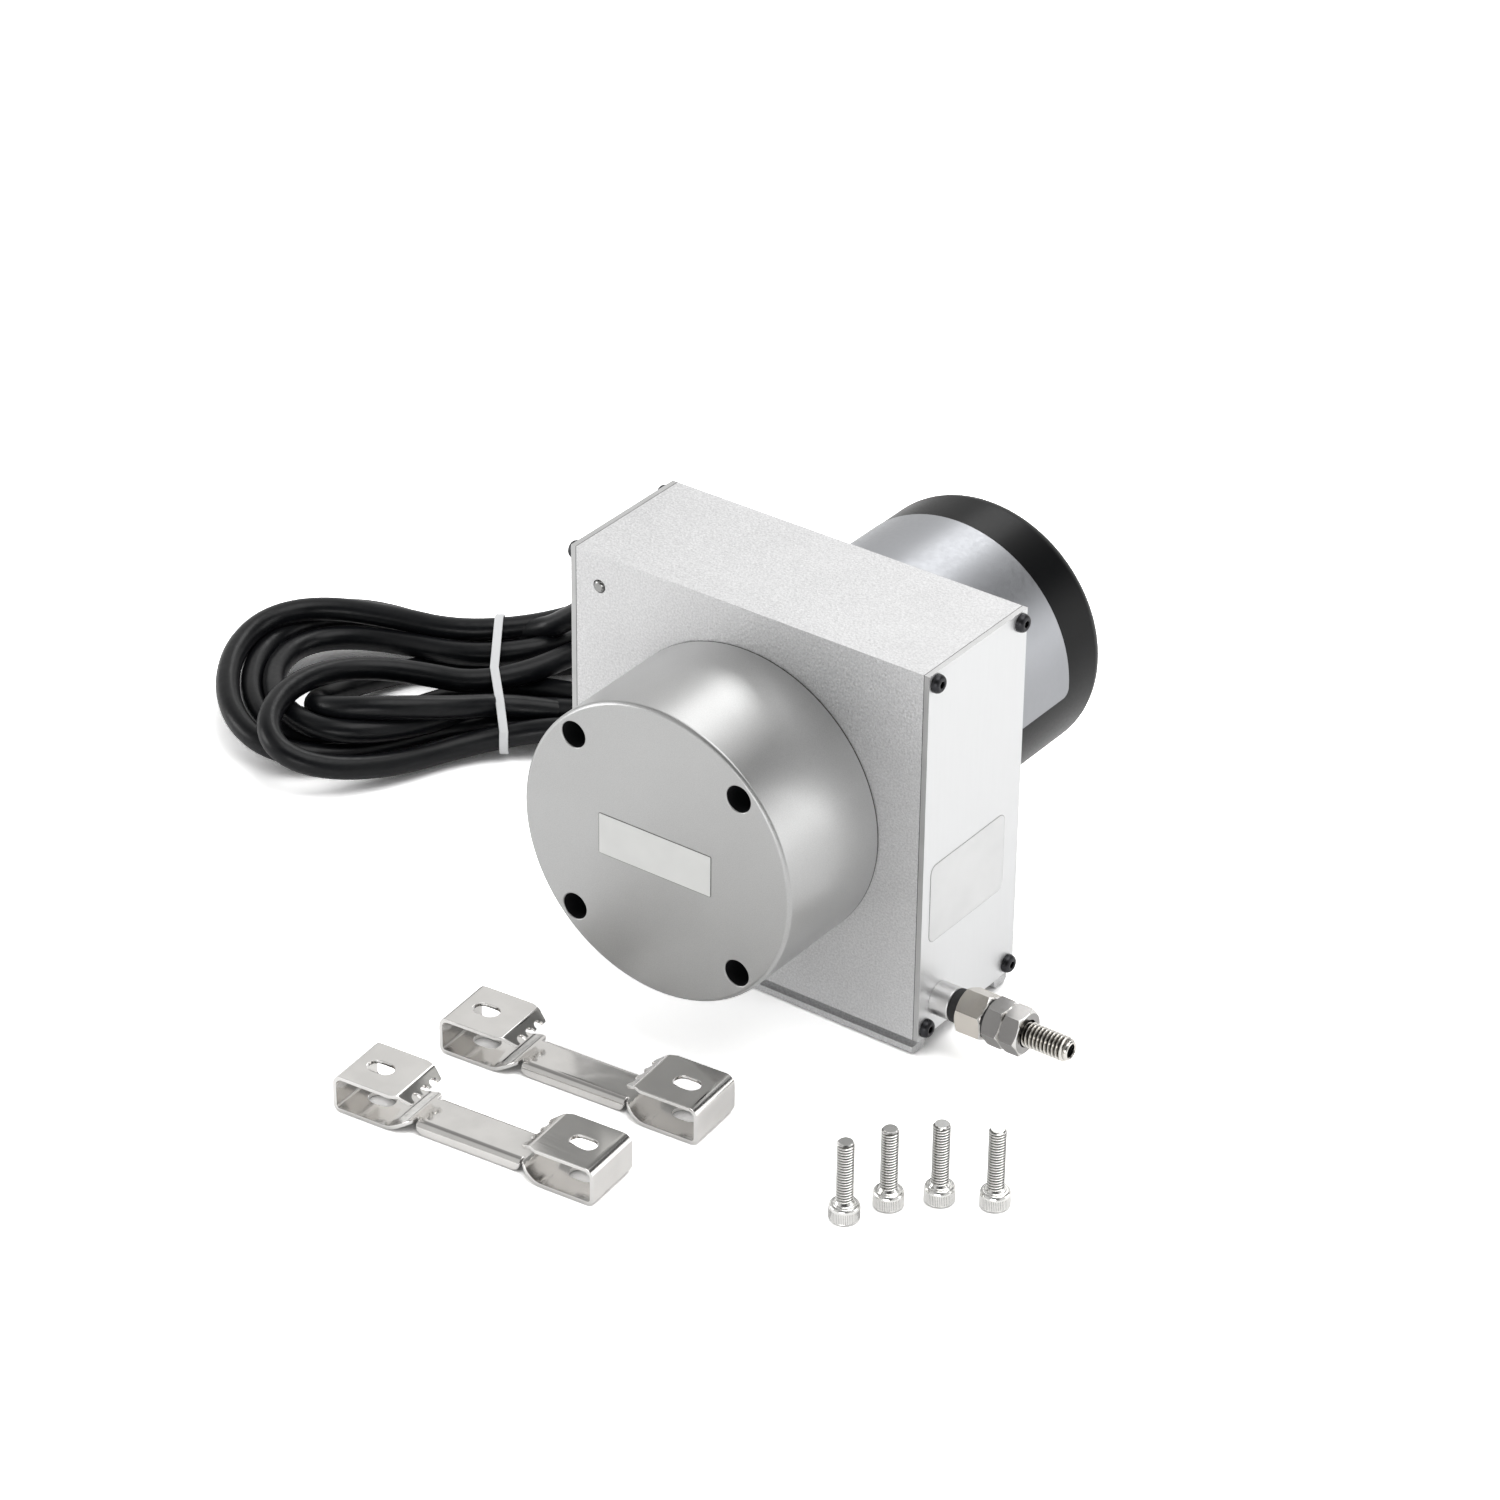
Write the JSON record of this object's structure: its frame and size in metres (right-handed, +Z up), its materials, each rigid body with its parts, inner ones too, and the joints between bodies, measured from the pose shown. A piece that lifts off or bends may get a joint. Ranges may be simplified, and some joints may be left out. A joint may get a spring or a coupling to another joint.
{
  "type": "draw wire encoder",
  "caption": "Draw wire encoder: a wire drum in an aluminium box between a spring drum and a rotary encoder, with a threaded pull stud and loose mounting clamps.",
  "frame": {"origin": "centre of the box footprint, on the plane of its feet", "axes": "+X along the pulled wire, +Y from the spring drum to the encoder, +Z up"},
  "size_m": [0.2873, 0.2213, 0.0992],
  "materials": {
    "blasted_aluminium": "fine bead-blasted and clear anodised",
    "cover_aluminium": "satin silver anodised",
    "turned_aluminium": "turned, bare",
    "steel": "ground steel",
    "black_steel": "black oxide",
    "spring_steel": "blued spring band",
    "wire_steel": "stranded stainless wire",
    "cap_black": "fine satin black coat",
    "brass": "nickel-free turned brass",
    "circuit_board": "solder mask",
    "disc_glass": "clear with printed track",
    "head_plastic": "moulded",
    "gland_nylon": "moulded nylon",
    "bush_steel": "polished stainless",
    "guide_ceramic": "glazed alumina",
    "buffer_rubber": "soft rubber",
    "stud_steel": "polished stainless",
    "washer_black": "black washer",
    "crimp_steel": "crimped sleeve",
    "clamp_steel": "bright stainless",
    "cable_pvc": "black flexible sheath",
    "tie_nylon": "white nylon",
    "core_pvc": "coloured core insulation"
  },
  "bodies": {
    "encoder_body": {"housing_extrusion": "blasted_aluminium", "front_face_pin": "steel", "left_end_cover": "cover_aluminium", "right_end_cover": "cover_aluminium", "left_cover_screws": "black_steel", "right_cover_screws": "black_steel", "spring_housing": "blasted_aluminium", "spring_housing_screws": "black_steel", "spring_back_plate": "turned_aluminium", "power_spring": "spring_steel", "bearing_outer_rings": "steel", "bearing_balls": "steel", "bearing_carrier": "turned_aluminium", "carrier_screws": "black_steel", "encoder_flange": "turned_aluminium", "encoder_cap": "cap_black", "cap_screws": "black_steel", "board_posts": "brass", "cap_posts": "brass", "encoder_board": "circuit_board", "read_head": "head_plastic", "light_block": "head_plastic", "gland_body": "gland_nylon", "gland_lock_nut": "gland_nylon", "gland_cap": "gland_nylon", "outlet_bush": "bush_steel", "bush_ring_nut": "bush_steel", "wire_guide": "guide_ceramic", "rubber_buffer": "buffer_rubber", "mounting_clamp_near": "clamp_steel", "mounting_clamp_far": "clamp_steel", "clamp_screws": "clamp_steel", "cable_lead": "cable_pvc", "cable_hank": "cable_pvc", "cable_tie": "tie_nylon", "cable_cores": "core_pvc"},
    "drum": {"drum_shaft": "steel", "spring_arbor": "turned_aluminium", "wire_drum": "turned_aluminium", "wire_winding": "wire_steel", "shaft_spacer": "turned_aluminium", "bearing_inner_rings": "steel", "disc_hub": "turned_aluminium", "code_disc": "disc_glass"},
    "wire_end": {"wire_crimp": "crimp_steel", "wire_run": "wire_steel"},
    "pull_end": {"pull_stud": "stud_steel", "stud_washer": "washer_black", "lock_nuts": "stud_steel"}
  },
  "joints": [
    {"name": "drum_spin", "type": "hinge", "parent": "encoder_body", "child": "drum", "pos_m": [0, 0, 0.05249], "axis": [0, -1, 0], "range_deg": [0, 2858], "stiffness_Nm_per_rad": 0.0016, "springref_deg": -8594.37},
    {"name": "wire_pull", "type": "slide", "parent": "encoder_body", "child": "wire_end", "axis": [1, 0, 0], "range_m": [0, 2], "deforming": ["wire_run"]},
    {"name": "stud_swivel", "type": "hinge", "parent": "wire_end", "child": "pull_end", "pos_m": [0.06, -0.01144, 0.0124], "axis": [1, 0, 0], "continuous": true}
  ],
  "couplings": [
    {"joint": "wire_pull", "follows": "drum_spin", "m_per_rad": 0.040089}
  ]
}
